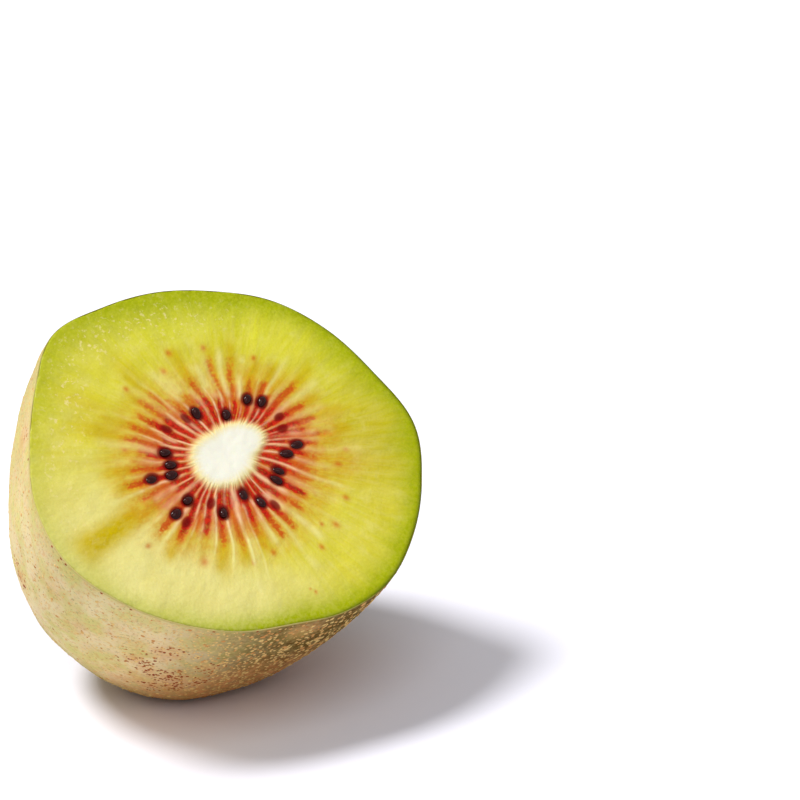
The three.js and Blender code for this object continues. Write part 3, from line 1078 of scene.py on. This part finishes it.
def make_dots(settings):
    """Corky dots, each a low dome of three rings, of which the widest lies in the skin."""
    corners = 6
    rings = ((1.25, -0.08), (0.82, 0.15), (0.45, 0.23))  # width and height, as shares of the size
    foot_height, top_height = -0.4, 0.25
    rng = np.random.default_rng(31)
    angle, turn, size, tone = dot_places(settings)
    count, nudge = len(angle), 0.002
    foot = skin_place(angle, turn)
    # The feet darken more on the olive side, partly as painted shade.
    dark = 0.25 + 0.75 * skin_sides(foot)["olive"]
    along = skin_place(angle, turn + nudge) - foot
    normal = unit(np.cross(along, skin_place(angle + nudge, turn) - foot))
    foot = foot + normal * skin_relief(foot)[:, None]
    first = unit(np.cross(normal, [0.3, 0.5, 0.8]))
    second = np.cross(normal, first)

    size = settings.dot_size / 2 / MM * size.clip(0.4, 1.9)
    around = full_turn(corners) + rng.uniform(0, 1, (count, 1))
    wobble = size[:, None] * rng.uniform(0.85, 1.15, (count, corners))
    oval = rng.uniform(0.85, 1.15, (count, 1))
    flat = (wobble * oval * np.cos(around))[..., None] * first[:, None]
    flat = flat + (wobble / oval * np.sin(around))[..., None] * second[:, None]
    foot, up = foot[:, None], normal[:, None] * size[:, None, None]
    domes = [foot + width * flat + height * up for width, height in rings]
    points = np.concatenate([*domes, foot + foot_height * up, foot + top_height * up], 1)

    edge = np.zeros(points.shape[:2])
    edge[:, :corners] = dark[:, None]
    values = {"tone": np.repeat(tone, points.shape[1]), "edge": edge.ravel()}
    faces = lathe_faces(len(rings), corners, count)
    return build_mesh("skin_dots", leaned(points.reshape(-1, 3)), faces, values)


def dot_material(settings):
    """Dry cork, from pale gold through tan to red-brown."""
    material, sheet, shader = surface_material("corky dots", ior=1.4, specular_ior_level=0.06)
    tone, grain = sheet.mask("tone"), sheet.grain(sheet.millimetres(), 0.12)
    colour = sheet.layers(
        settings.pale,
        (sheet.ramp(tone, 0.0, 0.6), settings.cork),
        (sheet.ramp(tone, 0.55, 1.0), settings.russet),
        (sheet.ramp(grain["Tone"], 0.4, 0.8, 0.0, 0.3), settings.olive),
        (sheet.ramp(sheet.mask("edge"), 0.2, 1.0, 0.0, 0.75), settings.bark),
    )
    sheet.finish(shader, colour, grain, (0.55, 0.75))
    return material


def make_scar():
    """The stem scar: a low woody button with a torn rim, sitting in the dimple.

    Its height is 0.75 (1 - s^4) at a share s of its radius, with a pit in the middle and ridges of
    noise that run out from it.
    """
    columns, rows, radius, skirt = 72, 22, 3.0, 0.6
    angle = full_turn(columns)
    s = np.linspace(1, 0, rows + 1)[:-1, None]
    away = radius * s * (1 + 0.09 * rough_noise(on_ring(angle), 0.5, 61))
    ridges = rough_noise(on_ring(angle + 0 * s, s), 0.22, 63) * smooth_step(0, 0.4, s)
    height = 0.75 * (1 - s**4) - 0.55 * np.exp(-((s / 0.3) ** 2)) + 0.22 * ridges
    floor = DIMPLE_DEPTH - HALF_LENGTH
    top = np.stack([away * np.cos(angle), -away * np.sin(angle), floor + 0.1 - height], -1)
    ends = np.array([[0, 0, floor + 0.9], [0, 0, top[-1, :, 2].mean()]])
    points = np.concatenate([top[0] + [0, 0, skirt], top.reshape(-1, 3), ends])
    return build_mesh("stem_scar", leaned(points), lathe_faces(rows + 1, columns))


def scar_material(settings):
    """Dry brown stem wood, darker in its hollows."""
    material, sheet, shader = surface_material("stem wood", ior=1.4)
    place = sheet.millimetres()
    dark, grain = sheet.noise(place, 0.5, 0.4, 0.65, 2), sheet.grain(place, 0.18)
    colour = sheet.mix(dark, settings.scar, settings.wood)
    sheet.finish(shader, colour, grain, (0.6, 0.85), grain["Height"], (0.6, 0.12))
    return material


# ---- stage ----


def seen_directly(sheet):
    """1 for rays that show the background itself: from the camera, a gloss or clear matter."""
    rays = sheet.node("ShaderNodeLightPath").outputs
    either = sheet.math("MAXIMUM", rays["Is Camera Ray"], rays["Is Glossy Ray"])
    return sheet.math("MAXIMUM", either, rays["Is Transmission Ray"])


def make_floor(settings):
    """A pale floor: its own colour where it is seen, and grey in the light that it gives back."""
    size = 3.0
    corners = [(-size, -size, 0), (size, -size, 0), (size, size, 0), (-size, size, 0)]
    mesh = bpy.data.meshes.new("floor")
    mesh.from_pydata(corners, [], [(0, 1, 2, 3)])
    floor = new_object("floor", mesh)
    material, sheet, shader = surface_material("floor", roughness=0.9, specular_ior_level=0.0)
    colour = sheet.mix(seen_directly(sheet), [settings.bounce] * 3, settings.floor)
    sheet.feed(shader["Base Color"], colour)
    mesh.materials.append(material)


def make_world(settings):
    """Plain light from all round, before a background that is seen as white."""
    world = bpy.data.worlds.new("studio")
    bpy.context.scene.world = world
    world.use_nodes = True
    world.node_tree.nodes.clear()
    sheet = Sheet(world.node_tree)
    strength = sheet.ramp(seen_directly(sheet), 0, 1, settings.ambient, 1.0)
    light = sheet.node("ShaderNodeBackground", {"Color": (1, 1, 1), "Strength": strength})
    sheet.node("ShaderNodeOutputWorld", {"Surface": light.outputs[0]})


def make_light(name, direction, spread, strength):
    """A wide, far light: a white surface that faces it shows its own colour times the strength."""
    lamp = bpy.data.lights.new(name, "SUN")
    lamp.angle, lamp.energy = np.radians(spread), strength * np.pi
    light = new_object(name, lamp)
    light.rotation_euler = Vector(direction).to_track_quat("Z", "Y").to_euler()


def make_camera(settings):
    """A long lens that looks down on the cut face from its left."""
    turn, pitch = settings.azimuth, settings.pitch
    back = Vector((np.sin(turn) * np.cos(pitch), -np.cos(turn) * np.cos(pitch), np.sin(pitch)))
    right = Vector((np.cos(turn), np.sin(turn), 0))
    up = back.cross(right)
    lens = bpy.data.cameras.new("camera")
    lens.lens, lens.sensor_width, lens.clip_start = 100, 36, 0.01
    camera = new_object("camera", lens)
    place = Vector(FACE_CENTRE) + right * settings.right + up * settings.up
    place += back * settings.distance
    camera.matrix_world = Matrix.Translation(place) @ Matrix((right, up, back)).transposed().to_4x4()
    bpy.context.scene.camera = camera


# ---- operators and panel ----


class KIWI_OT_flesh(Operator):
    """Build the cut flesh with its red heart and white core"""

    bl_idname = "kiwi.flesh"
    bl_label = "Flesh"

    def execute(self, context):
        settings = context.scene.kiwi_flesh
        thickness = context.scene.kiwi_skin.thickness / MM
        finished(make_flesh(settings, thickness), flesh_material(settings))
        return {"FINISHED"}


class KIWI_OT_seeds(Operator):
    """Build the seeds in their ring round the core"""

    bl_idname = "kiwi.seeds"
    bl_label = "Seeds"

    def execute(self, context):
        settings = context.scene.kiwi_seeds
        finished(make_seeds(settings), seed_material(settings))
        return {"FINISHED"}


class KIWI_OT_skin(Operator):
    """Build the skin, its corky dots and the stem scar"""

    bl_idname = "kiwi.skin"
    bl_label = "Skin"

    def execute(self, context):
        settings = context.scene.kiwi_skin
        finished(make_skin(settings), skin_material(settings))
        finished(make_dots(settings), dot_material(settings))
        finished(make_scar(), scar_material(settings))
        return {"FINISHED"}


class KIWI_OT_stage(Operator):
    """Set up the floor, the light and the camera"""

    bl_idname = "kiwi.stage"
    bl_label = "Stage"

    def execute(self, context):
        settings = context.scene.kiwi_stage
        context.scene.view_settings.view_transform = "Standard"
        make_floor(settings)
        make_world(settings)
        make_light("light from behind", *LIGHT_FROM_BEHIND, settings.key)
        make_light("light from the front", *LIGHT_FROM_THE_FRONT, settings.fill)
        make_camera(settings)
        return {"FINISHED"}


OPERATORS = (KIWI_OT_flesh, KIWI_OT_seeds, KIWI_OT_skin, KIWI_OT_stage)
SETTINGS = {
    "kiwi_flesh": KiwiFleshSettings,
    "kiwi_seeds": KiwiSeedSettings,
    "kiwi_skin": KiwiSkinSettings,
    "kiwi_stage": KiwiStageSettings,
}


class KIWI_PT_half(Panel):
    bl_label = "Half Kiwi Fruit"
    bl_idname = "KIWI_PT_half"
    bl_space_type = "VIEW_3D"
    bl_region_type = "UI"
    bl_category = "Kiwi"

    def draw(self, context):
        for operator, name in zip(OPERATORS, SETTINGS):
            box = self.layout.box()
            box.operator(operator.bl_idname)
            settings = getattr(context.scene, name)
            for key in settings.__annotations__:
                box.prop(settings, key)


def register():
    for cls in (*SETTINGS.values(), *OPERATORS, KIWI_PT_half):
        bpy.utils.register_class(cls)
    for name, cls in SETTINGS.items():
        setattr(bpy.types.Scene, name, PointerProperty(type=cls))


def unregister():
    for name in SETTINGS:
        delattr(bpy.types.Scene, name)
    for cls in reversed((*SETTINGS.values(), *OPERATORS, KIWI_PT_half)):
        bpy.utils.unregister_class(cls)


def main():
    register()
    for operator in OPERATORS:
        group, name = operator.bl_idname.split(".")
        getattr(getattr(bpy.ops, group), name)()


if __name__ == "__main__":
    main()
